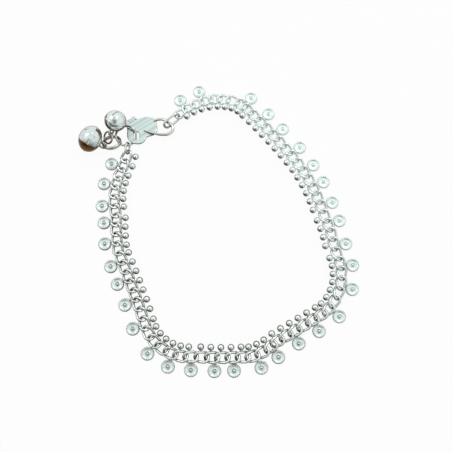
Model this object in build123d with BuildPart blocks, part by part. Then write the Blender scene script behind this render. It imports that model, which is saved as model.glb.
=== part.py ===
import os
from math import atan2, cos, degrees, hypot, radians, sin

from build123d import *

# Payal anklet: twisted curb links with a ball on each inner side and flat disc drops
# on the outer side, closed by a plate with a hook, with two jingle bells.
# Origin: middle of the loop's footprint, on the floor. +Z up. Millimetres.

# The tables' x and y are measured from a point this far from the footprint's middle
footprint_middle = (0.85, 0.2)

# Chain: one wire link repeated at one pitch
link_half_length = 2.2
link_half_width = 1.55
link_corner_rise = 0.9
link_bend = 1.4
chain_wire = 0.7
link_pitch = 3.25
rail_height = 0.8  # height of the outer rail's wire centre above the floor
ball_diameter = 2.2
ball_place = (-0.45, 3.25, 0.18)
stem_diameter = 0.7
solder_diameter = 0.4
solder_length = 1.0
solder_side = 1.28  # where the wires of two links cross, from the chain's middle

# Each run of links: links, x, y, heading, turn per link, roll
run_table = [
    (3, -29.7, 23.7, 256, -5.0, 12),
    (4, -32.7, 14.5, 255, 9.5, 12),
    (4, -32.4, 1.8, 270, 3.5, 12),
    (7, -30.4, -11.1, 293, -0.5, 17),
    (7, -22.2, -32.3, 287, 12.5, 12),
    (5, -3.9, -42.9, 357, 1.5, 13),
    (3, 12.1, -42.65, 15.5, 11.5, 13),
    (6, 20.0, -38.0, 30, 0.3, 22),
    (7, 36.4, -27.9, 46, 11.0, 24),
    (4, 39.0, -6.4, 99, 4.5, 16),
    (6, 35.3, 6.3, 107, 3.5, 10),
    (8, 26.3, 23.6, 128, 1.0, 12),
    (3, 9.1, 42.45, 145, 16.8, 14),
    (5, 0.1, 44.6, 187, 8.5, 10),
]
last_roll = 28

# Disc drops: one on each of these places, counted in links along the chain
drop_places = [
    2.19, 4.37, 6.33, 8.26, 10.30, 12.34, 14.29, 16.55, 19.13, 21.45, 23.27,
    24.99, 27.27, 29.10, 31.55, 32.99, 35.73, 38.07, 40.31, 42.66, 44.64, 46.89,
    49.16, 51.13, 53.32, 55.25, 57.41, 60.02, 62.22, 64.64, 69.42, 71.27,
]
disc_base = 4.4  # diameter on the floor
disc_top = 4.16
disc_plate = 0.8
disc_height = 1.1
disc_rim = 0.45
boss_diameter = 0.9
bail_radius = 0.63
bail_wire = 0.3
bail_reach = 2.52  # from the bail's middle to the disc's middle
bail_slide = 0.8  # how far a bail slides along its rail before the drop swings
drop_lean = 0.12  # how much further than halfway, in links, a drop can be from its own link
rail_slope = 0.41  # the outer rail climbs by this much per mm of its length

# Clasp plate and its hook
plate_middle = (-24.87, 33.62, 1.1)
plate_heading = 18
plate_roll = -8
plate_nose = 5
plate_thickness = 0.5
plate_outline = [
    (-4.0, 3.9), (-0.3, 4.15), (3.2, 3.9), (5.4, 2.1), (5.4, 0.3), (4.7, -2.4),
    (3.4, -3.4), (0.7, -3.7), (-0.3, -4.75), (-1.7, -5.4), (-3.45, -5.0),
    (-4.95, -3.8), (-5.5, -2.0), (-4.8, 1.0),
]
plate_hole = (-2.4, -2.1)
hole_length = 3.1
hole_width = 1.9
hole_turn = 77
hook_wire = 0.95
hook_tip = 0.35
hook_route = [
    (-20.9, 36.9, 0.6), (-18.05, 37.2, 1.0), (-16.1, 36.0, 1.45), (-14.2, 33.7, 1.5),
    (-15.3, 31.9, 1.6), (-17.9, 31.4, 1.75), (-20.7, 31.8, 2.05), (-24.1, 33.1, 1.75),
]
tab_length = 3.0
tab_width = 1.5
tab_height = 0.45
tab_place = (-2.2, 4.4)
tab_turn = 22
tab_ribs = 3
tab_rib = 0.35

# Main ring, bent by hand: angle round it, height of its wire's centre
main_ring_middle = (-30.0, 30.95)
main_ring_radius = 3.35
main_ring_wire = 0.72
main_ring_heights = [
    (0, 1.60), (20, 2.08), (45, 2.50), (75, 2.35), (110, 1.75), (145, 1.70),
    (180, 2.40), (215, 1.90), (250, 1.35), (285, 1.32), (320, 1.13), (340, 1.12),
]

# Small links that join the chain to the clasp: middle, heading, roll, pitch
start_link_place = (-29.4, 26.62, 1.43, 86.5, 68, 0)
start_link_size = (1.9, 1.2, 0.6)  # half length, half width, wire
hook_link_place = (-14.69, 36.46, 1.5, 40, 55, 0)
hook_link_size = (3.1, 1.3, 0.75)

# Jingle bells: hollow shells with a seam, cap grooves, a slit, a loop and a pellet
bell_wall = 0.5
bell_slit = 0.4
bell_seam_width = 0.5
bell_seam_rise = 0.12
bell_grooves = (22, 30, 38)  # degrees from the loop's end
groove_diameter = 0.26
bell_loop_wire = 0.6
pellet_diameter = 2.4
pellet_gap = 0.1
# Each bell: place, heading, roll, nose, half width, half length, loop radius, loop reach
bell_table = [
    ((-41.5, 28.8, 4.6), -23, -32, 21, 4.5, 3.8, 1.15, 0.9),
    ((-33.2, 34.8, 5.5), -117, 17, 33, 3.7, 3.5, 1.0, 0.8),
]
bell_ring_wire = 0.66
ring_turn_gap = 0.31  # half the step between the two turns of the first bell's ring
# Each bell ring: place, heading, roll, nose, radius, offsets of its turns
bell_ring_table = [
    ((-34.65, 28.25, 2.5), 0, -30, -5.5, 2.98, (-ring_turn_gap, ring_turn_gap)),
    ((-36.0, 30.3, 1.8), -73, 44, 4, 2.0, (0,)),
]


def lying_plane(place, heading, roll=0, nose=0):
    """A plane rolled about its own x axis, nose down, then turned to its heading."""
    up = Vector(0, 0, 1).rotate(Axis.X, roll).rotate(Axis.Y, nose).rotate(Axis.Z, heading)
    ahead = Vector(1, 0, 0).rotate(Axis.Y, nose).rotate(Axis.Z, heading)
    return Plane(origin=place, x_dir=ahead, z_dir=up)


def link_plane(x, y, heading, roll):
    height = rail_height + link_half_width * sin(radians(roll))
    return lying_plane((x, y, height), heading, roll)


def run_steps(number):
    """x, y, heading and roll of each link of one run, and of one more after it."""
    count, x, y, heading, turn, roll = run_table[number]
    rolls = [row[5] for row in run_table] + [last_roll]
    steps = []
    for i in range(count + 1):
        leaning = roll + (rolls[number + 1] - roll) * i / count
        steps.append((x, y, heading + turn * i, leaning))
        course = radians(heading + turn * (i + 0.5))
        x += link_pitch * cos(course)
        y += link_pitch * sin(course)
    return steps


def all_links():
    links = []
    for number in range(len(run_table)):
        links += run_steps(number)[:-1]
    return links


def halfway(first, second):
    return tuple((a + b) / 2 for a, b in zip(first, second))


def save(part, name):
    placed = Location((-footprint_middle[0], -footprint_middle[1], 0)) * part
    placed.label = name
    export_step(placed, f"parts/{name}.step")
    print(f"{name}: {len(part.solids())} solid, {part.volume:.2f} mm3")


os.makedirs("parts", exist_ok=True)

# One link of the chain with its ball, its wire swept in two halves
a, b, c = link_half_length, link_half_width, link_corner_rise
with BuildPart() as pattern_link:
    for side in (1, -1):
        with BuildLine() as half_path:
            FilletPolyline((side * a, 0, 0), (side * a, side * b, -c),
                           (-side * a, side * b, c), (-side * a, 0, 0), radius=link_bend)
        with BuildSketch(Plane(origin=half_path.line @ 0, z_dir=half_path.line % 0)):
            Circle(chain_wire / 2)
        sweep()
    with Locations(ball_place):
        Sphere(ball_diameter / 2)
    stem_length = ball_place[1] - link_half_width
    stem_middle = (ball_place[0], link_half_width + stem_length / 2, ball_place[2])
    with Locations(Location(stem_middle, (90, 0, 0))):
        Cylinder(stem_diameter / 2, stem_length)

# Runs of the chain: each is one solid, its links soldered where their wires cross
for number, row in enumerate(run_table):
    steps = run_steps(number)
    with BuildPart() as chain_run:
        for step in steps[:-1]:
            with Locations(link_plane(*step).location):
                add(pattern_link.part)
        for step, following in zip(steps[:-2], steps[1:-1]):
            with Locations(link_plane(*halfway(step, following)).location):
                with Locations((0, solder_side, 0), (0, -solder_side, 0)):
                    Cylinder(solder_diameter / 2, solder_length)
    save(chain_run.part, f"chain_run_{number + 1:02d}")

# Disc drops: a rimmed disc lying on the floor, and its bail round a link's outer rail
links = all_links()
for number, place in enumerate(drop_places):
    own_link = round(place - drop_lean)
    x, y, heading, roll = links[own_link - 1]
    ahead = (place - own_link) * link_pitch
    slide = min(max(ahead, 0), bail_slide)
    swing = degrees(atan2(ahead - slide, bail_reach))
    rail = link_plane(x, y, heading, roll)
    bail_middle = rail.from_local_coords(
        Vector(slide, -link_half_width, rail_slope * slide))
    outward = heading - 90 + swing
    bail_plane = Plane(origin=bail_middle, z_dir=Vector(1, 0, 0).rotate(Axis.Z, heading + swing))
    disc_middle = Vector(bail_middle.X, bail_middle.Y, 0)
    disc_middle += Vector(hypot(ahead - slide, bail_reach), 0, 0).rotate(Axis.Z, outward)
    with BuildPart() as disc_drop:
        with Locations(disc_middle):
            Cone(disc_base / 2, disc_top / 2, disc_height,
                 align=(Align.CENTER, Align.CENTER, Align.MIN))
        with Locations(disc_middle + Vector(0, 0, disc_plate)):
            Cylinder(disc_top / 2 - disc_rim, disc_height,
                     align=(Align.CENTER, Align.CENTER, Align.MIN), mode=Mode.SUBTRACT)
            Cylinder(boss_diameter / 2, disc_height - disc_plate,
                     align=(Align.CENTER, Align.CENTER, Align.MIN))
        with Locations(bail_plane.location):
            Torus(bail_radius, bail_wire / 2)
    save(disc_drop.part, f"disc_drop_{number + 1:02d}")

# Clasp: a flat leaf plate with a hole, a wire hook at one end and a ribbed tab behind
plate_plane = lying_plane(plate_middle, plate_heading, plate_roll, plate_nose)
with BuildPart() as clasp_hook:
    with BuildSketch(plate_plane.offset(-plate_thickness / 2)):
        with BuildLine():
            Spline(*plate_outline, periodic=True)
        make_face()
        with Locations(plate_hole):
            SlotOverall(hole_length, hole_width, rotation=hole_turn, mode=Mode.SUBTRACT)
    extrude(amount=plate_thickness)
    with BuildLine() as hook_path:
        Spline(*hook_route)
    for share, width in ((0, hook_wire), (0.75, hook_wire), (1, hook_tip)):
        with BuildSketch(Plane(origin=hook_path.line @ share, z_dir=hook_path.line % share)):
            Circle(width / 2)
    sweep(multisection=True)
    with Locations(plate_plane.location * Location((*tab_place, 0), (0, 0, tab_turn))):
        Box(tab_length, tab_width, tab_height)
        with GridLocations(tab_length / tab_ribs, 1, tab_ribs, 1):
            with Locations(Location((0, 0, tab_height / 2), (90, 0, 0))):
                Cylinder(tab_rib / 2, tab_width)
save(clasp_hook.part, "clasp_hook")

# Main ring through the plate's hole
ring_points = []
for angle, height in main_ring_heights:
    spot = Vector(main_ring_radius, 0, height).rotate(Axis.Z, angle)
    ring_points.append(spot + Vector(*main_ring_middle, 0))
halves = (ring_points[:7], ring_points[6:] + ring_points[:1])
east_course = ring_points[1] - ring_points[-1]
west_course = ring_points[7] - ring_points[5]
with BuildPart() as main_ring:
    for half, courses in zip(halves, ((east_course, west_course), (west_course, east_course))):
        with BuildLine() as ring_path:
            Spline(*half, tangents=courses)
        with BuildSketch(Plane(origin=ring_path.line @ 0, z_dir=ring_path.line % 0)):
            Circle(main_ring_wire / 2)
        sweep()
save(main_ring.part, "main_ring")

# Oval links that join the chain's two ends to the clasp
oval_links = {
    "start_link": (start_link_place, start_link_size),
    "hook_link": (hook_link_place, hook_link_size),
}
for name, (place, size) in oval_links.items():
    half_length, half_width, wire = size
    straight = half_length - half_width
    with BuildPart() as oval_link:
        for side in (1, -1):
            with BuildLine() as oval_path:
                Line((0, side * half_width), (side * straight, side * half_width))
                JernArc((side * straight, side * half_width), (side, 0), half_width, -180)
                Line((side * straight, -side * half_width), (0, -side * half_width))
            with BuildSketch(Plane(origin=oval_path.line @ 0, z_dir=oval_path.line % 0)):
                Circle(wire / 2)
            sweep()
    save(lying_plane(place[:3], *place[3:]).location * oval_link.part, name)

# Bells: each shell is turned about its own x axis, with the loop at its +x end
for number, row in enumerate(bell_table):
    place, heading, roll, nose, half_width, half_length, loop_radius, loop_reach = row
    with BuildPart() as bell:
        with BuildSketch():
            Ellipse(half_length, half_width)
            Rectangle(bell_seam_width, 2 * (half_width + bell_seam_rise))
            for angle in bell_grooves:
                with Locations((half_length * cos(radians(angle)),
                                half_width * sin(radians(angle)))):
                    Circle(groove_diameter / 2, mode=Mode.SUBTRACT)
            Ellipse(half_length - bell_wall, half_width - bell_wall, mode=Mode.SUBTRACT)
            with Locations((0, -half_width)):
                Rectangle(4 * half_length, 2 * half_width, mode=Mode.SUBTRACT)
        revolve(axis=Axis.X)
        with Locations((-half_length, 0, 0)):
            Box(half_length, bell_slit, 1.5 * half_width, mode=Mode.SUBTRACT)
        with Locations(Location((half_length + loop_reach, 0, 0), (90, 0, 0))):
            Torus(loop_radius, bell_loop_wire / 2)
    save(lying_plane(place, heading, roll, nose).location * bell.part, f"bell_{number + 1}")
    drop = half_length - bell_wall - pellet_diameter / 2 - pellet_gap
    with BuildPart() as pellet:
        with Locations(Vector(*place) - Vector(0, 0, drop)):
            Sphere(pellet_diameter / 2)
    save(pellet.part, f"bell_{number + 1}_pellet")

# Rings that join the bells to the main ring and to each other
for number, row in enumerate(bell_ring_table):
    place, heading, roll, nose, radius, offsets = row
    with BuildPart() as bell_ring:
        for offset in offsets:
            with Locations(lying_plane(place, heading, roll, nose).offset(offset).location):
                Torus(radius, bell_ring_wire / 2)
    save(bell_ring.part, f"bell_ring_{number + 1}")
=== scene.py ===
import math
import bmesh
import bpy
from mathutils import Euler, Matrix, Vector


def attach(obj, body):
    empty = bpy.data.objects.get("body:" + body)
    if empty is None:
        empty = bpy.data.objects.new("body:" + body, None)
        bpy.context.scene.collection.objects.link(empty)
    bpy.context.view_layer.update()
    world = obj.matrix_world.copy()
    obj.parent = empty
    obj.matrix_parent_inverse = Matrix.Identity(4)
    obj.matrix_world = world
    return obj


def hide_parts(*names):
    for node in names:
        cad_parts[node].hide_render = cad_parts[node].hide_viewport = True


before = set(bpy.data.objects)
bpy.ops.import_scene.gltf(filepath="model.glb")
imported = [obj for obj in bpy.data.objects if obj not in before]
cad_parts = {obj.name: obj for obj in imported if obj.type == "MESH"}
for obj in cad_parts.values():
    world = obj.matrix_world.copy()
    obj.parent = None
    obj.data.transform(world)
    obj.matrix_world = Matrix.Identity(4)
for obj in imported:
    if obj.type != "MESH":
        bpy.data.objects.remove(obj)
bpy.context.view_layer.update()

mm = 0.001
sameSpot = 1e-7  # points nearer than this are one
tablesMiddle = Vector((0.85, 0.2, 0))  # where the footprint's middle is in the tables below, in mm
print("frame loaded:", len(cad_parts), "nodes")


def mmPoint(x, y, z=0.0):
    return (Vector((x, y, z)) - tablesMiddle) * mm


def lyingMatrix(place, heading, roll, nose=0):  # place in the tables' mm, turns in degrees
    turn = Euler((math.radians(roll), math.radians(nose), math.radians(heading)), "XYZ")
    return Matrix.Translation(mmPoint(*place)) @ turn.to_matrix().to_4x4()


def newObject(name, mesh):
    thing = bpy.data.objects.new(name, mesh)
    bpy.context.scene.collection.objects.link(thing)
    return thing


def bakedMesh(source):
    bpy.context.view_layer.update()
    graph = bpy.context.evaluated_depsgraph_get()
    mesh = bpy.data.meshes.new_from_object(source.evaluated_get(graph), depsgraph=graph)
    data = source.data
    bpy.data.objects.remove(source)
    if isinstance(data, bpy.types.Curve):
        bpy.data.curves.remove(data)
    return mesh


def smoothed(mesh):
    for face in mesh.polygons:
        face.use_smooth = True
    return mesh


def joinedMesh(meshes):
    build = bmesh.new()
    for mesh in meshes:
        build.from_mesh(mesh)
    joined = bpy.data.meshes.new("joined")
    build.to_mesh(joined)
    build.free()
    return joined


def finishPiece(name, mesh, material, *nodes):
    mesh.materials.clear()
    mesh.materials.append(material)
    for face in mesh.polygons:
        face.material_index = 0
    piece = newObject(name, mesh)
    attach(piece, "root")
    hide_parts(*nodes)


def latheMesh(profile, segments):  # profile rows: place along x, radius
    build = bmesh.new()
    rings = []
    for along, radius in profile:
        if radius < sameSpot:
            rings.append([build.verts.new((along, 0, 0))])
            continue
        ring = []
        for i in range(segments):
            angle = 2 * math.pi * i / segments
            ring.append(build.verts.new((along, radius * math.cos(angle), radius * math.sin(angle))))
        rings.append(ring)
    for first, second in zip(rings, rings[1:]):
        for i in range(segments):
            j = (i + 1) % segments
            corners = [first[i % len(first)], second[i % len(second)],
                       second[j % len(second)], first[j % len(first)]]
            build.faces.new(list(dict.fromkeys(corners)))  # a corner on the axis is used once
    bmesh.ops.recalc_face_normals(build, faces=build.faces)
    mesh = bpy.data.meshes.new("lathe")
    build.to_mesh(mesh)
    build.free()
    return smoothed(mesh)


def wireMesh(points, radius, steps, closed=False, taper=None, roundness=6):
    curve = bpy.data.curves.new("wire", "CURVE")
    curve.dimensions = "3D"
    curve.bevel_depth = radius
    curve.bevel_resolution = roundness
    curve.use_fill_caps = not closed
    spline = curve.splines.new("BEZIER")
    spline.bezier_points.add(len(points) - 1)
    for i, point in enumerate(points):
        knot = spline.bezier_points[i]
        knot.co = point
        knot.handle_left_type = knot.handle_right_type = "AUTO"
        knot.radius = taper[i] if taper else 1.0
    spline.use_cyclic_u = closed
    spline.resolution_u = steps
    return smoothed(bakedMesh(newObject("wire", curve)))


def ringMesh(radius, wire, around, sides=12):
    build = bmesh.new()
    loops = []
    for i in range(around):
        angle = 2 * math.pi * i / around
        loop = []
        for j in range(sides):
            turn = 2 * math.pi * j / sides
            reach = radius + wire * math.cos(turn)
            loop.append(build.verts.new((reach * math.cos(angle), reach * math.sin(angle),
                                         wire * math.sin(turn))))
        loops.append(loop)
    for i in range(around):
        for j in range(sides):
            k, m = (i + 1) % around, (j + 1) % sides
            build.faces.new((loops[i][j], loops[k][j], loops[k][m], loops[i][m]))
    bmesh.ops.recalc_face_normals(build, faces=build.faces)
    mesh = bpy.data.meshes.new("ring")
    build.to_mesh(mesh)
    build.free()
    return smoothed(mesh)


def newTree(name, inputs):  # an input's kind follows from its value, and None is a material
    kinds = {int: "NodeSocketInt", float: "NodeSocketFloat", tuple: "NodeSocketVector"}
    tree = bpy.data.node_groups.new(name, "GeometryNodeTree")
    tree.interface.new_socket(name="Geometry", in_out="INPUT", socket_type="NodeSocketGeometry")
    for title, value in inputs.items():
        kind = kinds.get(type(value), "NodeSocketMaterial")
        socket = tree.interface.new_socket(name=title, in_out="INPUT", socket_type=kind)
        if value is not None:
            socket.default_value = value
    tree.interface.new_socket(name="Geometry", in_out="OUTPUT", socket_type="NodeSocketGeometry")
    return tree, tree.nodes.new("NodeGroupInput"), tree.nodes.new("NodeGroupOutput")


def calc(tree, operation, first, second=0.0, third=None):
    node = tree.nodes.new("ShaderNodeMath")
    node.operation = operation
    for i, value in enumerate((first, second, third)):
        if value is None:
            continue
        if isinstance(value, (int, float)):
            node.inputs[i].default_value = value
        else:
            tree.links.new(value, node.inputs[i])
    return node.outputs[0]


def triple(tree, x, y, z):
    node = tree.nodes.new("ShaderNodeCombineXYZ")
    for i, value in enumerate((x, y, z)):
        if isinstance(value, (int, float)):
            node.inputs[i].default_value = value
        else:
            tree.links.new(value, node.inputs[i])
    return node.outputs[0]


def grown(tree, kind, settings=None, **given):
    node = tree.nodes.new(kind)
    for key, value in (settings or {}).items():
        setattr(node, key, value)
    for key, value in given.items():
        socket = node.inputs[key.replace("_", " ")]
        if isinstance(value, bpy.types.NodeSocket):
            tree.links.new(value, socket)
        else:
            socket.default_value = value
    return node


def joinAll(tree, *parts):
    node = tree.nodes.new("GeometryNodeJoinGeometry")
    for part in reversed(parts):
        tree.links.new(part, node.inputs[0])
    return node.outputs[0]


def closeTree(tree, geometry, material, result):
    smooth = grown(tree, "GeometryNodeSetShadeSmooth", Geometry=geometry)
    real = grown(tree, "GeometryNodeRealizeInstances", Geometry=smooth.outputs[0])
    dressed = grown(tree, "GeometryNodeSetMaterial", Geometry=real.outputs[0], Material=material)
    tree.links.new(dressed.outputs[0], result.inputs[0])


def growMesh(tree, values, startMesh=None):
    seed = newObject("seed", startMesh or bpy.data.meshes.new("seed"))
    modifier = seed.modifiers.new("grow", "NODES")
    modifier.node_group = tree
    for item in tree.interface.items_tree:
        if item.item_type == "SOCKET" and item.in_out == "INPUT" and item.name in values:
            modifier[item.identifier] = values[item.name]
    return bakedMesh(seed)


silver = {  # the looks below change only some of these
    # the brown-black colour below is painted shade and painted reflection of dark brown surroundings; it is laid
    # on faces turned toward -x, -y and down, and on faces turned downward
    "Clean Silver": (0.89, 0.94, 0.925), "Painted Shade": (0.13, 0.075, 0.04),
    "Grain Tint": (0.47, 0.465, 0.39), "Grain Amount": 0.6, "Grain Scale": 2200.0,
    "Shaded Side": (-0.55, -0.75, -0.3), "Side Start": 0.22, "Side Full": 0.55, "Side Amount": 1.0,
    "Under Side": (0, 0.2, -0.98), "Under Start": -0.8, "Under Full": -0.45, "Under Amount": 0.95,
    "Drift": 0.92, "Patch Scale": 320.0, "Polish": 0.12, "Polish Spread": 0.15,
    "Brush": (0, 0, 0), "Brush Amount": 0.0, "Ball": 0.0,
    "Bump": 0.3, "Bump Depth": 0.04 * mm,
}
finishAndShadeInputs = {
    "Color": ("Clean Silver", "Painted Shade", "Grain Tint"),
    "Vector": ("Shaded Side", "Under Side", "Brush"),
    "Float": ("Grain Amount", "Grain Scale", "Side Start", "Side Full", "Side Amount", "Under Start",
              "Under Full", "Under Amount", "Drift", "Patch Scale", "Polish", "Polish Spread", "Brush Amount",
              "Ball"),
}
marks = {  # how much detail each noise has, and which part of its range shows
    "patchDetail": 3, "patchRange": (0.3, 0.7), "patchShare": (0.75, 1.15),
    "grainDetail": 4, "grainRange": (0.5, 0.68), "brushDetail": 2, "brushRange": (0.45, 0.7),
    "driftSide": (-6.0, -9.0, 0.0), "driftRange": (-0.45, 0.35),  # the painted shade and the grain fade toward +x and +y, which paints that side of the loop lighter
}


def socketValue(kind, value):
    return (*value, 1) if kind == "Color" else value


# the group's colour holds real grain and brush lines, and painted shade on faces turned to one side and downward
def makeSilverFinishAndShade():
    tree = bpy.data.node_groups.new("silverFinishAndShade", "ShaderNodeTree")
    for kind, titles in finishAndShadeInputs.items():
        for title in titles:
            socket = tree.interface.new_socket(name=title, in_out="INPUT", socket_type="NodeSocket" + kind)
            socket.default_value = socketValue(kind, silver[title])
    for title, kind in (("Color", "Color"), ("Roughness", "Float"), ("Height", "Float")):
        tree.interface.new_socket(name=title, in_out="OUTPUT", socket_type="NodeSocket" + kind)
    nodes, links = tree.nodes, tree.links
    value = nodes.new("NodeGroupInput").outputs
    result = nodes.new("NodeGroupOutput")
    coords = nodes.new("ShaderNodeTexCoord").outputs["Object"]
    facing = nodes.new("ShaderNodeNewGeometry").outputs["Normal"]

    def noise(scale, detail):
        node = nodes.new("ShaderNodeTexNoise")
        node.inputs["Detail"].default_value = detail
        links.new(coords, node.inputs["Vector"])
        links.new(scale, node.inputs["Scale"])
        return node.outputs["Fac"]

    def along(vector, direction):
        node = nodes.new("ShaderNodeVectorMath")
        node.operation = "DOT_PRODUCT"
        links.new(vector, node.inputs[0])
        if isinstance(direction, bpy.types.NodeSocket):
            links.new(direction, node.inputs[1])
        else:
            node.inputs[1].default_value = direction
        return node.outputs["Value"]

    def spread(amount, low, high, lowest=0.0, highest=1.0):
        node = nodes.new("ShaderNodeMapRange")
        node.interpolation_type = "SMOOTHSTEP"
        links.new(amount, node.inputs["Value"])
        for title, bound in zip(("From Min", "From Max", "To Min", "To Max"), (low, high, lowest, highest)):
            if isinstance(bound, bpy.types.NodeSocket):
                links.new(bound, node.inputs[title])
            else:
                node.inputs[title].default_value = bound
        return node.outputs["Result"]

    def blend(factor, first, second):
        node = nodes.new("ShaderNodeMix")
        node.data_type = "RGBA"
        links.new(factor, node.inputs["Factor"])
        links.new(first, node.inputs[6])
        links.new(second, node.inputs[7])
        return node.outputs[2]

    def times(first, second):
        return calc(tree, "MULTIPLY", first, second)

    patches = noise(value["Patch Scale"], marks["patchDetail"])
    grain = noise(value["Grain Scale"], marks["grainDetail"])
    # painted shade: faces turned toward the side vector are darkened
    side = times(spread(along(facing, value["Shaded Side"]), value["Side Start"], value["Side Full"]),
                 value["Side Amount"])
    # painted shade under things: faces turned downward are darkened
    under = times(spread(along(facing, value["Under Side"]), value["Under Start"], value["Under Full"]),
                  value["Under Amount"])
    # painted light: the painted shade and the grain fade toward +x and +y, so that side of the loop is painted
    # lighter
    drift = spread(along(coords, marks["driftSide"]), *marks["driftRange"])
    kept = calc(tree, "MULTIPLY_ADD", calc(tree, "SUBTRACT", drift, 1.0), value["Drift"], 1.0)
    keptSide = times(side, calc(tree, "MAXIMUM", kept, value["Ball"]))  # a ball's side keeps its full painted shade all round the loop
    uneven = spread(patches, *marks["patchRange"], *marks["patchShare"])
    # the painted shade mask, made uneven by the patches
    paintedShade = times(calc(tree, "MAXIMUM", keptSide, times(under, kept)), uneven)
    paintedShade = calc(tree, "MINIMUM", paintedShade, 1.0)
    lines = nodes.new("ShaderNodeTexNoise")  # changes along one direction only, as a brush's lines do
    lines.noise_dimensions = "1D"
    lines.inputs["Detail"].default_value = marks["brushDetail"]
    lines.inputs["Scale"].default_value = 1.0
    links.new(along(coords, value["Brush"]), lines.inputs["W"])
    brushed = times(spread(lines.outputs["Fac"], *marks["brushRange"]), value["Brush Amount"])
    grained = times(times(spread(grain, *marks["grainRange"]), value["Grain Amount"]), kept)
    speckle = calc(tree, "MAXIMUM", grained, brushed)
    polished = blend(speckle, value["Clean Silver"], value["Grain Tint"])
    # the silver is blended toward the painted shade colour by the painted shade mask
    links.new(blend(paintedShade, polished, value["Painted Shade"]), result.inputs["Color"])
    roughness = calc(tree, "MULTIPLY_ADD", grain, value["Polish Spread"], value["Polish"])
    links.new(roughness, result.inputs["Roughness"])
    links.new(grain, result.inputs["Height"])
    return tree


silverFinishAndShade = makeSilverFinishAndShade()


def silverMaterial(name, changes, ballMask=False):
    look = {**silver, **changes}
    material = bpy.data.materials.new(name)
    material.use_nodes = True
    nodes, links = material.node_tree.nodes, material.node_tree.links
    metal = nodes["Principled BSDF"]
    metal.inputs["Metallic"].default_value = 1.0
    finishAndShade = nodes.new("ShaderNodeGroup")
    finishAndShade.node_tree = silverFinishAndShade
    for kind, titles in finishAndShadeInputs.items():
        for title in titles:
            finishAndShade.inputs[title].default_value = socketValue(kind, look[title])
    if ballMask:
        balls = nodes.new("ShaderNodeAttribute")
        balls.attribute_name = "ball"
        links.new(balls.outputs["Fac"], finishAndShade.inputs["Ball"])
    links.new(finishAndShade.outputs["Color"], metal.inputs["Base Color"])
    links.new(finishAndShade.outputs["Roughness"], metal.inputs["Roughness"])
    bump = nodes.new("ShaderNodeBump")
    bump.inputs["Strength"].default_value = look["Bump"]
    bump.inputs["Distance"].default_value = look["Bump Depth"]
    links.new(finishAndShade.outputs["Height"], bump.inputs["Height"])
    links.new(bump.outputs["Normal"], metal.inputs["Normal"])
    return material


# each look below sets the painted shade's colour, the side it falls on and how far under things it reaches
discLook = {
    "Clean Silver": (0.88, 0.94, 0.935), "Grain Amount": 0.5, "Polish": 0.24, "Polish Spread": 0.2,
    "Shaded Side": (-0.05, -0.9, -0.35), "Side Amount": 0.9, "Under Side": (0, 0, -1), "Under Amount": 0.8,
}
ringLook = {
    "Clean Silver": (0.84, 0.86, 0.80), "Grain Tint": (0.42, 0.40, 0.31), "Drift": 0.3,
    "Under Start": -0.85, "Under Full": -0.5,
}
# the plate's painted shade falls on its lower right edge
plateLook = {
    "Clean Silver": (0.745, 0.82, 0.81), "Painted Shade": (0.12, 0.055, 0.02),
    "Grain Tint": (0.52, 0.60, 0.60), "Grain Amount": 0.15, "Drift": 0.0, "Polish": 0.22,
    "Shaded Side": (0.3, -0.9, -0.1), "Side Start": 0.08, "Side Full": 0.28, "Side Amount": 1.2,
    "Under Side": (0, 0, -1), "Under Start": -0.75, "Under Amount": 1.1,
    "Brush": (-500, 700, 0), "Brush Amount": 0.8,
}
# the bells' dark brown is painted reflection and painted shade on their lower left side and underside
bellLook = {
    "Clean Silver": (0.84, 0.88, 0.88), "Painted Shade": (0.13, 0.055, 0.015),
    "Grain Scale": 700.0, "Drift": 0.0, "Polish": 0.1,
    "Shaded Side": (-0.48, -0.7, -0.53), "Side Start": 0.06, "Side Full": 0.24, "Side Amount": 1.25,
    "Under Side": (-0.1, 0.2, -0.97), "Under Start": -0.5, "Under Full": -0.28, "Under Amount": 1.1,
    "Bump": 0.8, "Bump Depth": 0.3 * mm,
}
# bell 2's look: a paler silver with its painted shade turned to the -x side
bellSideLook = {
    **bellLook, "Clean Silver": (0.87, 0.92, 0.91), "Painted Shade": (0.17, 0.085, 0.035),
    "Shaded Side": (-0.9, 0.1, -0.42), "Side Start": 0.22, "Side Full": 0.42,
}
pelletLook = {
    "Clean Silver": (0.56, 0.57, 0.58), "Painted Shade": (0.20, 0.11, 0.06), "Grain Tint": (0.40, 0.39, 0.38),
    "Side Amount": 0.5, "Under Amount": 0.3, "Drift": 0.0, "Polish": 0.3,
}
chainSilver = silverMaterial("chainSilver", {}, ballMask=True)
discSilver = silverMaterial("discSilver", discLook)
ringSilver = silverMaterial("ringSilver", ringLook)
plateSilver = silverMaterial("plateSilver", plateLook)
bellSilver = silverMaterial("bellSilver", bellLook)
bellSideSilver = silverMaterial("bellSideSilver", bellSideLook)
pelletSteel = silverMaterial("pelletSteel", pelletLook)
print("materials made")

chain = {"pitch": 3.25, "halfWidth": 1.55, "railHeight": 0.8}  # mm; a link's two long sides are its rails
link = {
    "Half Length": 2.2 * mm, "Half Width": chain["halfWidth"] * mm, "Corner Rise": 0.9 * mm, "Bend": 1.4 * mm,
    "Wire": 0.44 * mm, "Pitch": chain["pitch"] * mm, "Rail Height": chain["railHeight"] * mm,
    "Ball": 1.1 * mm, "Stem": 0.35 * mm,
    "Ball X": -0.45 * mm, "Ball Y": 3.25 * mm, "Ball Z": 0.18 * mm,
}
linkFaces = {"bendSteps": 7, "wireSides": 10, "ballSegments": 18, "ballRings": 10, "stemSides": 10}

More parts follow.
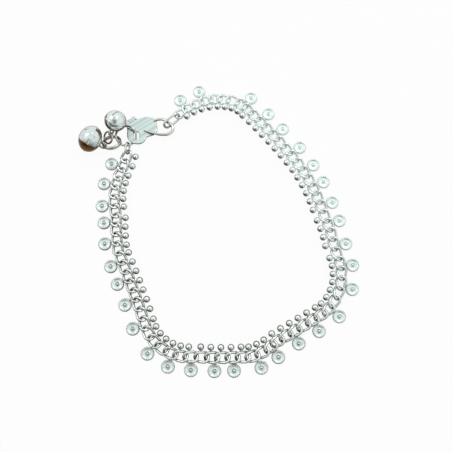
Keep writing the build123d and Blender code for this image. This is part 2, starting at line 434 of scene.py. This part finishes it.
chainRuns = [  # links, x, y, heading, turn per link, roll of the first link
    (3, -29.7, 23.7, 256, -5.0, 12),
    (4, -32.7, 14.5, 255, 9.5, 12),
    (4, -32.4, 1.8, 270, 3.5, 12),
    (7, -30.4, -11.1, 293, -0.5, 17),
    (7, -22.2, -32.3, 287, 12.5, 12),
    (5, -3.9, -42.9, 357, 1.5, 13),
    (3, 12.1, -42.65, 15.5, 11.5, 13),
    (6, 20.0, -38.0, 30, 0.3, 22),
    (7, 36.4, -27.9, 46, 11.0, 24),
    (4, 39.0, -6.4, 99, 4.5, 16),
    (6, 35.3, 6.3, 107, 3.5, 10),
    (8, 26.3, 23.6, 128, 1.0, 12),
    (3, 9.1, 42.45, 145, 16.8, 14),
    (5, 0.1, 44.6, 187, 8.5, 10),
]
lastRoll = 28  # where the last run's roll ends


def makeLinkTree():
    tree, given, result = newTree("linkRun", {
        "Links": 5, "Start X": 0.0, "Start Y": 0.0, "Heading": 0.0, "Turn": 0.1, "Roll": 0.0,
        "Roll Step": 0.0, **link, "Material": None})
    value = given.outputs
    a, b, c = value["Half Length"], value["Half Width"], value["Corner Rise"]
    minusA, minusB, minusC = (calc(tree, "MULTIPLY", size, -1.0) for size in (a, b, c))
    # two opposite corners stand higher than the others, which twists the link
    corners = grown(tree, "GeometryNodeCurvePrimitiveQuadrilateral", {"mode": "POINTS"},
                    Point_1=triple(tree, a, b, minusC), Point_2=triple(tree, minusA, b, c),
                    Point_3=triple(tree, minusA, minusB, minusC), Point_4=triple(tree, a, minusB, c))
    bent = grown(tree, "GeometryNodeFilletCurve", {"mode": "POLY"}, Curve=corners.outputs[0],
                 Radius=value["Bend"], Count=linkFaces["bendSteps"])
    section = grown(tree, "GeometryNodeCurvePrimitiveCircle", Resolution=linkFaces["wireSides"],
                    Radius=value["Wire"])
    wire = grown(tree, "GeometryNodeCurveToMesh", Curve=bent.outputs[0], Profile_Curve=section.outputs[0])
    ball = grown(tree, "GeometryNodeMeshUVSphere", Segments=linkFaces["ballSegments"],
                 Rings=linkFaces["ballRings"], Radius=value["Ball"])
    ballPlace = triple(tree, value["Ball X"], value["Ball Y"], value["Ball Z"])
    ballSet = grown(tree, "GeometryNodeTransform", Geometry=ball.outputs[0], Translation=ballPlace)
    marked = grown(tree, "GeometryNodeStoreNamedAttribute", Geometry=ballSet.outputs[0], Name="ball",
                   Value=1.0)
    stemLength = calc(tree, "SUBTRACT", value["Ball Y"], b)
    stem = grown(tree, "GeometryNodeMeshCylinder", Vertices=linkFaces["stemSides"], Radius=value["Stem"],
                 Depth=stemLength)
    stemMiddle = calc(tree, "MULTIPLY_ADD", stemLength, 0.5, b)
    stemSet = grown(tree, "GeometryNodeTransform", Geometry=stem.outputs[0], Rotation=(math.pi / 2, 0, 0),
                    Translation=triple(tree, value["Ball X"], stemMiddle, value["Ball Z"]))
    oneLink = joinAll(tree, wire.outputs[0], marked.outputs[0], stemSet.outputs[0])
    number = tree.nodes.new("GeometryNodeInputIndex").outputs[0]
    angle = calc(tree, "MULTIPLY_ADD", number, value["Turn"], value["Heading"])  # links lie along an arc
    halfTurn = calc(tree, "SINE", calc(tree, "MULTIPLY", value["Turn"], 0.5))
    bendRadius = calc(tree, "DIVIDE", value["Pitch"], calc(tree, "MULTIPLY", halfTurn, 2.0))
    sineStep = calc(tree, "SUBTRACT", calc(tree, "SINE", angle), calc(tree, "SINE", value["Heading"]))
    cosineStep = calc(tree, "SUBTRACT", calc(tree, "COSINE", value["Heading"]), calc(tree, "COSINE", angle))
    x = calc(tree, "MULTIPLY_ADD", bendRadius, sineStep, value["Start X"])
    y = calc(tree, "MULTIPLY_ADD", bendRadius, cosineStep, value["Start Y"])
    roll = calc(tree, "MULTIPLY_ADD", number, value["Roll Step"], value["Roll"])
    z = calc(tree, "MULTIPLY_ADD", b, calc(tree, "SINE", roll), value["Rail Height"])
    places = grown(tree, "GeometryNodePoints", Count=value["Links"], Position=triple(tree, x, y, z))
    laid = grown(tree, "GeometryNodeInstanceOnPoints", Points=places.outputs[0], Instance=oneLink,
                 Rotation=triple(tree, roll, 0.0, angle))
    closeTree(tree, laid.outputs[0], value["Material"], result)
    return tree


linkTree = makeLinkTree()
rolls = [row[5] for row in chainRuns] + [lastRoll]
for i, (links, x, y, heading, turn, roll) in enumerate(chainRuns):
    start = mmPoint(x, y)
    values = {
        **link, "Links": links, "Start X": start.x, "Start Y": start.y, "Heading": math.radians(heading),
        "Turn": math.radians(turn), "Roll": math.radians(roll),
        "Roll Step": math.radians(rolls[i + 1] - roll) / links, "Material": chainSilver,
    }
    finishPiece(f"chainLinks{i + 1:02d}", growMesh(linkTree, values), chainSilver, f"chain_run_{i + 1:02d}")
print("chain made:", sum(row[0] for row in chainRuns), "links")


disc = {
    "places": [  # along the chain, counted in links
        2.19, 4.37, 6.33, 8.26, 10.30, 12.34, 14.29, 16.55, 19.13, 21.45, 23.27,
        24.99, 27.27, 29.10, 31.55, 32.99, 35.73, 38.07, 40.31, 42.66, 44.64, 46.89,
        49.16, 51.13, 53.32, 55.25, 57.41, 60.02, 62.22, 64.64, 69.42, 71.27,
    ],
    "lean": 0.12,  # a disc hangs from the link nearest to its place less this
    "slide": 0.8, "railSlope": 0.41,  # how far a bail slides along its rail, and the rail's rise for each mm
    "reach": 2.52,  # from the rail to the disc's middle
    "profile": [  # height, radius
        (0.0, 0.0), (0.0, 2.1), (0.07, 2.18), (0.2, 2.2), (0.7, 2.1), (0.8, 2.0), (0.84, 1.8), (0.82, 1.64),
        (0.74, 1.56), (0.7, 1.48), (0.66, 1.3), (0.63, 1.0), (0.63, 0.9), (0.67, 0.83), (0.69, 0.76),
        (0.62, 0.69), (0.42, 0.62), (0.42, 0.52), (0.7, 0.46), (0.9, 0.32), (1.0, 0.12), (1.0, 0.0),
    ],
    "segments": 28,
}
beading = {
    "Bead": 0.26 * mm, "Bead Circle": 1.9 * mm, "Bead Height": 0.75 * mm,
    "Bail": 0.63 * mm, "Bail Wire": 0.15 * mm, "Reach": disc["reach"] * mm,
    "Lug": 0.34 * mm, "Lug Reach": 2.0 * mm, "Lug Height": 0.72 * mm,
}
beadCount = 18
discFaces = {
    "beadSegments": 8, "beadRings": 6, "bailSteps": 24, "bailSides": 8, "lugSegments": 12, "lugRings": 8,
}


def linkSpots():  # x, y, heading and roll of every link
    spots = []
    for i, (links, x, y, heading, turn, roll) in enumerate(chainRuns):
        for j in range(links):
            spots.append((x, y, heading + turn * j, roll + (rolls[i + 1] - roll) * j / links))
            course = math.radians(heading + turn * (j + 0.5))
            x += chain["pitch"] * math.cos(course)
            y += chain["pitch"] * math.sin(course)
    return spots


def makeDiscTree():
    tree, given, result = newTree("beadedDisc", {
        "Place": (0, 0, 0), "Outward": 0.0, "Bail Height": link["Rail Height"], "Beads": beadCount, **beading,
        "Material": None})
    value = given.outputs
    bead = grown(tree, "GeometryNodeMeshUVSphere", Segments=discFaces["beadSegments"],
                 Rings=discFaces["beadRings"], Radius=value["Bead"])
    circle = grown(tree, "GeometryNodeMeshCircle", Vertices=value["Beads"], Radius=value["Bead Circle"])
    beads = grown(tree, "GeometryNodeInstanceOnPoints", Points=circle.outputs[0], Instance=bead.outputs[0])
    beadSet = grown(tree, "GeometryNodeTransform", Geometry=beads.outputs[0],
                    Translation=triple(tree, 0.0, 0.0, value["Bead Height"]))
    bailPath = grown(tree, "GeometryNodeCurvePrimitiveCircle", Resolution=discFaces["bailSteps"],
                     Radius=value["Bail"])
    bailSection = grown(tree, "GeometryNodeCurvePrimitiveCircle", Resolution=discFaces["bailSides"],
                        Radius=value["Bail Wire"])
    bail = grown(tree, "GeometryNodeCurveToMesh", Curve=bailPath.outputs[0],
                 Profile_Curve=bailSection.outputs[0])
    back = calc(tree, "MULTIPLY", value["Reach"], -1.0)
    bailSet = grown(tree, "GeometryNodeTransform", Geometry=bail.outputs[0], Rotation=(math.pi / 2, 0, 0),
                    Translation=triple(tree, back, 0.0, value["Bail Height"]))
    lug = grown(tree, "GeometryNodeMeshUVSphere", Segments=discFaces["lugSegments"],
                Rings=discFaces["lugRings"], Radius=value["Lug"])
    lugBack = calc(tree, "MULTIPLY", value["Lug Reach"], -1.0)
    lugSet = grown(tree, "GeometryNodeTransform", Geometry=lug.outputs[0],
                   Translation=triple(tree, lugBack, 0.0, value["Lug Height"]))
    drop = joinAll(tree, value["Geometry"], beadSet.outputs[0], bailSet.outputs[0], lugSet.outputs[0])
    laid = grown(tree, "GeometryNodeTransform", Geometry=drop, Translation=value["Place"],
                 Rotation=triple(tree, 0.0, 0.0, value["Outward"]))
    closeTree(tree, laid.outputs[0], value["Material"], result)
    return tree


discTree = makeDiscTree()
discBody = latheMesh([(height * mm, radius * mm) for height, radius in disc["profile"]], disc["segments"])
discBody.transform(Matrix.Rotation(-math.pi / 2, 4, "Y"))
spots = linkSpots()
for i, place in enumerate(disc["places"]):
    number = round(place - disc["lean"])
    x, y, heading, roll = spots[number - 1]
    ahead = (place - number) * chain["pitch"]
    slide = min(max(ahead, 0), disc["slide"])
    swing = math.degrees(math.atan2(ahead - slide, disc["reach"]))
    linkHeight = chain["railHeight"] + chain["halfWidth"] * math.sin(math.radians(roll))
    lying = lyingMatrix((x, y, linkHeight), heading, roll)
    bail = lying @ (Vector((slide, -chain["halfWidth"], disc["railSlope"] * slide)) * mm)
    outward = math.radians(heading - 90 + swing)
    reach = math.hypot(ahead - slide, disc["reach"]) * mm
    middle = Vector((bail.x, bail.y, 0)) + Vector((math.cos(outward), math.sin(outward), 0)) * reach
    values = {
        **beading, "Beads": beadCount, "Reach": reach, "Place": middle, "Outward": outward,
        "Bail Height": bail.z, "Material": discSilver,
    }
    finishPiece(f"discDrop{i + 1:02d}", growMesh(discTree, values, discBody.copy()), discSilver,
                f"disc_drop_{i + 1:02d}")
print("discs made:", len(disc["places"]))


plate = {
    "middle": (-24.87, 33.62, 1.1), "heading": 18, "roll": -8, "nose": 5, "thickness": 0.5,
    "round": 0.24, "roundSteps": 3, "edgeSteps": 10,
    "outline": [
        (-4.0, 3.9), (-0.3, 4.15), (3.2, 3.9), (5.4, 2.1), (5.4, 0.3), (4.7, -2.4),
        (3.4, -3.4), (0.7, -3.7), (-0.3, -4.75), (-1.7, -5.4), (-3.45, -5.0),
        (-4.95, -3.8), (-5.5, -2.0), (-4.8, 1.0),
    ],
    "hole": (-2.4, -2.1), "holeLength": 3.1, "holeWidth": 1.9, "holeTurn": 77, "holeSteps": 8,
}
hook = {
    "route": [
        (-20.9, 36.9, 0.6), (-18.05, 37.2, 1.0), (-16.1, 36.0, 1.45), (-14.2, 33.7, 1.5),
        (-15.3, 31.9, 1.6), (-17.9, 31.4, 1.75), (-20.7, 31.8, 2.05), (-24.1, 33.1, 1.75),
    ],
    "wire": 0.475, "taper": [1, 1, 1, 1, 1, 1, 0.85, 0.3], "steps": 10,
}
tab = {
    "length": 3.0, "width": 1.5, "height": 0.45, "place": (-2.2, 4.4), "turn": 22, "bevel": 0.1,
    "ribs": 3, "rib": 0.2, "ribLength": 1.44, "ribSides": 10,
}


def slotPoints(middle, length, width, turn, steps):  # a long hole's outline, each end in so many steps
    straight = (length - width) / 2
    spin = Matrix.Rotation(math.radians(turn), 2)
    points = []
    for side in (1, -1):
        for i in range(steps + 1):
            angle = math.radians(-90 + 180 * i / steps)
            spot = Vector((straight + math.cos(angle) * width / 2, math.sin(angle) * width / 2))
            points.append(spin @ (side * spot) + Vector(middle))
    return points


def plateMesh():
    curve = bpy.data.curves.new("plate", "CURVE")
    curve.dimensions = "2D"
    curve.fill_mode = "BOTH"
    curve.extrude = (plate["thickness"] / 2 - plate["round"]) * mm
    curve.bevel_depth = plate["round"] * mm
    curve.bevel_resolution = plate["roundSteps"]
    curve.offset = -plate["round"] * mm
    edge = curve.splines.new("BEZIER")
    edge.bezier_points.add(len(plate["outline"]) - 1)
    for knot, spot in zip(edge.bezier_points, plate["outline"]):
        knot.co = (spot[0] * mm, spot[1] * mm, 0)
        knot.handle_left_type = knot.handle_right_type = "AUTO"
    edge.use_cyclic_u = True
    edge.resolution_u = plate["edgeSteps"]
    hole = curve.splines.new("POLY")
    rim = slotPoints(plate["hole"], plate["holeLength"], plate["holeWidth"], plate["holeTurn"],
                     plate["holeSteps"])
    hole.points.add(len(rim) - 1)
    for knot, spot in zip(hole.points, rim):
        knot.co = (spot.x * mm, spot.y * mm, 0, 1)
    hole.use_cyclic_u = True
    mesh = bakedMesh(newObject("plate", curve))
    build = bmesh.new()
    build.from_mesh(mesh)
    bmesh.ops.remove_doubles(build, verts=build.verts, dist=sameSpot)
    bmesh.ops.recalc_face_normals(build, faces=build.faces)
    build.to_mesh(mesh)
    build.free()
    return mesh


def tabMesh():
    build = bmesh.new()
    size = Matrix.Diagonal((tab["length"] * mm, tab["width"] * mm, tab["height"] * mm, 1))
    bmesh.ops.create_cube(build, size=1.0, matrix=size)
    bmesh.ops.bevel(build, geom=build.edges, offset=tab["bevel"] * mm, segments=2, affect="EDGES",
                    profile=0.5)
    for i in range(tab["ribs"]):
        along = ((i + 0.5) / tab["ribs"] - 0.5) * tab["length"] * mm
        spot = Matrix.Translation((along, 0, tab["height"] / 2 * mm)) @ Matrix.Rotation(math.pi / 2, 4, "X")
        bmesh.ops.create_cone(build, cap_ends=True, segments=tab["ribSides"], radius1=tab["rib"] * mm,
                              radius2=tab["rib"] * mm, depth=tab["ribLength"] * mm, matrix=spot)
    mesh = bpy.data.meshes.new("tab")
    build.to_mesh(mesh)
    build.free()
    mesh.transform(Matrix.Translation((*[v * mm for v in tab["place"]], 0))
                   @ Matrix.Rotation(math.radians(tab["turn"]), 4, "Z"))
    return mesh


plateMatrix = lyingMatrix(plate["middle"], plate["heading"], plate["roll"], plate["nose"])
plateParts = joinedMesh([plateMesh(), tabMesh()])
plateParts.transform(plateMatrix)
hookPath = [mmPoint(*spot) for spot in hook["route"]]
hookWire = wireMesh(hookPath, hook["wire"] * mm, hook["steps"], taper=hook["taper"])
finishPiece("claspPlate", plateParts, plateSilver, "clasp_hook")
finishPiece("claspHook", hookWire, ringSilver, "clasp_hook")

mainRing = {
    "middle": (-30.0, 30.95), "radius": 3.35, "wire": 0.36, "steps": 10,
    "heights": [  # angle round the ring, height of its wire's centre
        (0, 1.60), (20, 2.08), (45, 2.50), (75, 2.35), (110, 1.75), (145, 1.70),
        (180, 2.40), (215, 1.90), (250, 1.35), (285, 1.32), (320, 1.13), (340, 1.12),
    ],
}
ringSpots = []
for angle, height in mainRing["heights"]:
    turn = math.radians(angle)
    ringSpots.append(mmPoint(mainRing["middle"][0] + mainRing["radius"] * math.cos(turn),
                             mainRing["middle"][1] + mainRing["radius"] * math.sin(turn), height))
ringWire = wireMesh(ringSpots, mainRing["wire"] * mm, mainRing["steps"], closed=True)
finishPiece("mainRing", ringWire, ringSilver, "main_ring")

ovalLinks = {
    "start_link": {"piece": "startLink", "place": (-29.4, 26.62, 1.43), "heading": 86.5, "roll": 68,
                   "length": 3.8, "width": 2.4, "wire": 0.3},
    "hook_link": {"piece": "hookLink", "place": (-14.69, 36.46, 1.5), "heading": 40, "roll": 55,
                  "length": 6.2, "width": 2.6, "wire": 0.375},
}
ovalEndSteps = 6
ovalWireSteps = 3
for node, oval in ovalLinks.items():
    outline = slotPoints((0, 0), oval["length"], oval["width"], 0, ovalEndSteps)
    mesh = wireMesh([spot.to_3d() * mm for spot in outline], oval["wire"] * mm, ovalWireSteps, closed=True)
    mesh.transform(lyingMatrix(oval["place"], oval["heading"], oval["roll"]))
    finishPiece(oval["piece"], mesh, ringSilver, node)
print("clasp made")


bells = {  # across and along are half sizes
    "bell_1": {"piece": "bell1", "place": (-41.5, 28.8, 4.6), "heading": -23, "roll": -32, "nose": 21,
               "across": 4.5, "along": 3.8, "loop": 1.15, "loopReach": 0.9, "silver": bellSilver},
    "bell_2": {"piece": "bell2", "place": (-33.2, 34.8, 5.5), "heading": -117, "roll": 17, "nose": 33,
               "across": 3.7, "along": 3.5, "loop": 1.0, "loopReach": 0.8, "silver": bellSideSilver},
}
shell = {
    "wall": 0.5, "slit": 0.4, "slitReach": 1.5,  # the slit's length, in half widths of the bell
    "seam": 0.12, "seamBand": 3.1,  # how high it stands, and its half width in degrees
    "grooves": (22, 30, 38), "grooveDepth": 0.22, "grooveBand": 2.9,  # degrees from the loop, and half width
    "loopWire": 0.3, "loopSteps": 32, "segments": 56, "steps": 90, "innerSteps": 30,
}
bellRings = {
    "bell_ring_1": {"piece": "bellRing1", "place": (-34.65, 28.25, 2.5), "heading": 0, "roll": -30,
                    "nose": -5.5, "radius": 2.98, "offsets": (-0.31, 0.31)},
    "bell_ring_2": {"piece": "bellRing2", "place": (-36.0, 30.3, 1.8), "heading": -73, "roll": 44,
                    "nose": 4, "radius": 2.0, "offsets": (0,)},
}
bellRingWire = 0.33
bellRingSteps = 48


def outerProfile(bell):  # from the loop's end, with the grooves and the seam
    profile = []
    for i in range(shell["steps"] + 1):
        degrees = 180 * i / shell["steps"]
        angle = math.radians(degrees)
        rise = shell["seam"] if abs(degrees - 90) < shell["seamBand"] else 0
        for groove in shell["grooves"]:
            rise -= shell["grooveDepth"] * max(0, 1 - ((degrees - groove) / shell["grooveBand"]) ** 2)
        profile.append(((bell["along"] + rise) * math.cos(angle) * mm,
                        (bell["across"] + rise) * math.sin(angle) * mm))
    return profile


def innerProfile(bell):
    profile = []
    for i in range(shell["innerSteps"], -1, -1):
        angle = math.pi * i / shell["innerSteps"]
        profile.append(((bell["along"] - shell["wall"]) * math.cos(angle) * mm,
                        (bell["across"] - shell["wall"]) * math.sin(angle) * mm))
    return profile


def bellMesh(bell):
    outer = latheMesh(outerProfile(bell), shell["segments"])
    inner = latheMesh(innerProfile(bell), shell["segments"])
    inner.flip_normals()  # the hollow's faces point into the hollow
    body = newObject("bellBody", joinedMesh([outer, inner]))
    cutter = bmesh.new()
    slitLength = shell["slitReach"] * bell["across"]
    size = Matrix.Diagonal((bell["along"] * mm, shell["slit"] * mm, slitLength * mm, 1))
    bmesh.ops.create_cube(cutter, size=1.0, matrix=Matrix.Translation((-bell["along"] * mm, 0, 0)) @ size)
    cutterMesh = bpy.data.meshes.new("slit")
    cutter.to_mesh(cutterMesh)
    cutter.free()
    blade = newObject("slit", cutterMesh)
    cut = body.modifiers.new("slit", "BOOLEAN")
    cut.object = blade
    cut.operation = "DIFFERENCE"
    cut.solver = "EXACT"
    mesh = bakedMesh(body)
    bpy.data.objects.remove(blade)
    loop = ringMesh(bell["loop"] * mm, shell["loopWire"] * mm, shell["loopSteps"])
    loop.transform(Matrix.Translation(((bell["along"] + bell["loopReach"]) * mm, 0, 0))
                   @ Matrix.Rotation(math.pi / 2, 4, "X"))
    whole = smoothed(joinedMesh([mesh, loop]))
    whole.transform(lyingMatrix(bell["place"], bell["heading"], bell["roll"], bell["nose"]))
    return whole


for node, bell in bells.items():
    finishPiece(bell["piece"], bellMesh(bell), bell["silver"], node)
for node, ring in bellRings.items():
    turns = []
    for offset in ring["offsets"]:
        turn = ringMesh(ring["radius"] * mm, bellRingWire * mm, bellRingSteps)
        turn.transform(Matrix.Translation((0, 0, offset * mm)))
        turns.append(turn)
    rings = joinedMesh(turns)
    rings.transform(lyingMatrix(ring["place"], ring["heading"], ring["roll"], ring["nose"]))
    finishPiece(ring["piece"], rings, ringSilver, node)
for name in ("bell_1_pellet", "bell_2_pellet"):
    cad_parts[name].data.materials.clear()
    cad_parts[name].data.materials.append(pelletSteel)
print("bells made")


studio = {
    "floor": (0.9, 0.9, 0.9), "floorReach": 1.5, "floorRoughness": 0.9, "floorSheen": 0.2,
    "floorSeen": 0.94, "floorMirrored": 0.35, "skyMirrored": 0.05,
    "bright": (0.82, 0.885, 0.87), "dark": (0.02, 0.01, 0.0),
    "brightSide": (0.25, 0.8, 0.9), "brightRange": (-0.55, 0.2, 0.0, 1.0),
    "viewerSide": (0.0, -0.5, 0.87), "viewerRange": (0.88, 0.95, 1.0, 0.25),  # dark where the viewer stands
    "lamps": [  # name, place and size across in metres, power, colour
        ("backLamp", (0.16, 0.30, 0.42), 0.16, 0.26, (0.93, 0.98, 1.0)),
        ("sideLamp", (-0.30, 0.20, 0.36), 0.12, 0.10, (1.0, 0.98, 0.94)),
    ],
}


def bouncedRay(tree, path):
    return calc(tree, "ADD", path.outputs["Is Glossy Ray"], path.outputs["Is Transmission Ray"])


def makeFloor():
    mesh = bpy.data.meshes.new("floor")
    reach = studio["floorReach"]
    mesh.from_pydata([(-reach, -reach, 0), (reach, -reach, 0), (reach, reach, 0), (-reach, reach, 0)], [],
                     [(0, 1, 2, 3)])
    floor = newObject("floor", mesh)
    material = bpy.data.materials.new("paleFloor")
    material.use_nodes = True
    tree = material.node_tree
    nodes, links = tree.nodes, tree.links
    matt = nodes["Principled BSDF"]
    matt.inputs["Base Color"].default_value = (*studio["floor"], 1)
    matt.inputs["Roughness"].default_value = studio["floorRoughness"]
    matt.inputs["Specular IOR Level"].default_value = studio["floorSheen"]
    glow = nodes.new("ShaderNodeEmission")
    path = nodes.new("ShaderNodeLightPath")
    seen = calc(tree, "MULTIPLY", path.outputs["Is Camera Ray"], studio["floorSeen"])
    share = calc(tree, "MULTIPLY_ADD", bouncedRay(tree, path), studio["floorMirrored"], seen)
    mix = nodes.new("ShaderNodeMixShader")
    links.new(share, mix.inputs[0])
    links.new(matt.outputs[0], mix.inputs[1])
    links.new(glow.outputs[0], mix.inputs[2])
    links.new(mix.outputs[0], nodes["Material Output"].inputs["Surface"])
    mesh.materials.append(material)


def makeWorld():
    world = bpy.data.worlds.new("studio")
    bpy.context.scene.world = world
    world.use_nodes = True
    tree = world.node_tree
    nodes, links = tree.nodes, tree.links
    direction = nodes.new("ShaderNodeTexCoord").outputs["Generated"]

    def sweep(side, bounds):  # how far a direction is toward one side, mapped to a share
        facing = nodes.new("ShaderNodeVectorMath")
        facing.operation = "DOT_PRODUCT"
        facing.inputs[1].default_value = Vector(side).normalized()
        links.new(direction, facing.inputs[0])
        ramp = nodes.new("ShaderNodeMapRange")
        ramp.interpolation_type = "SMOOTHSTEP"
        for title, bound in zip(("From Min", "From Max", "To Min", "To Max"), bounds):
            ramp.inputs[title].default_value = bound
        links.new(facing.outputs["Value"], ramp.inputs["Value"])
        return ramp.outputs["Result"]

    def mixed(share, first, second):
        node = nodes.new("ShaderNodeMix")
        node.data_type = "RGBA"
        links.new(share, node.inputs["Factor"])
        for i, colour in ((6, first), (7, second)):
            if isinstance(colour, tuple):
                node.inputs[i].default_value = (*colour, 1)
            else:
                links.new(colour, node.inputs[i])
        return node.outputs[2]

    lit = calc(tree, "MULTIPLY", sweep(studio["brightSide"], studio["brightRange"]),
               sweep(studio["viewerSide"], studio["viewerRange"]))
    sky = mixed(lit, studio["dark"], studio["bright"])
    path = nodes.new("ShaderNodeLightPath")
    share = calc(tree, "MULTIPLY_ADD", bouncedRay(tree, path), studio["skyMirrored"],
                 path.outputs["Is Camera Ray"])
    links.new(mixed(share, sky, (1, 1, 1)), nodes["Background"].inputs["Color"])


def addLamp(name, place, size, power, colour):
    lamp = bpy.data.lights.new(name, "AREA")
    lamp.shape = "DISK"
    lamp.size = size
    lamp.energy = power
    lamp.color = colour
    holder = bpy.data.objects.new(name, lamp)
    holder.location = place
    holder.rotation_euler = (-Vector(place)).to_track_quat("-Z", "Y").to_euler()
    bpy.context.scene.collection.objects.link(holder)


makeFloor()
makeWorld()
for row in studio["lamps"]:
    addLamp(*row)

view = {  # mm
    "target": (2.91, -0.23, 0.0), "place": (2.91, -60.71, 242.6), "lens": 60.3, "sensor": 36, "nearest": 5,
}
camera = bpy.data.cameras.new("camera")
camera.lens = view["lens"]
camera.sensor_width = view["sensor"]
camera.clip_start = view["nearest"] * mm
cameraHolder = bpy.data.objects.new("camera", camera)
cameraHolder.location = Vector(view["place"]) * mm
sight = Vector(view["target"]) - Vector(view["place"])
cameraHolder.rotation_euler = sight.to_track_quat("-Z", "Y").to_euler()
bpy.context.scene.collection.objects.link(cameraHolder)
bpy.context.scene.camera = cameraHolder
bpy.context.scene.view_settings.view_transform = "Standard"

print("scene ready")
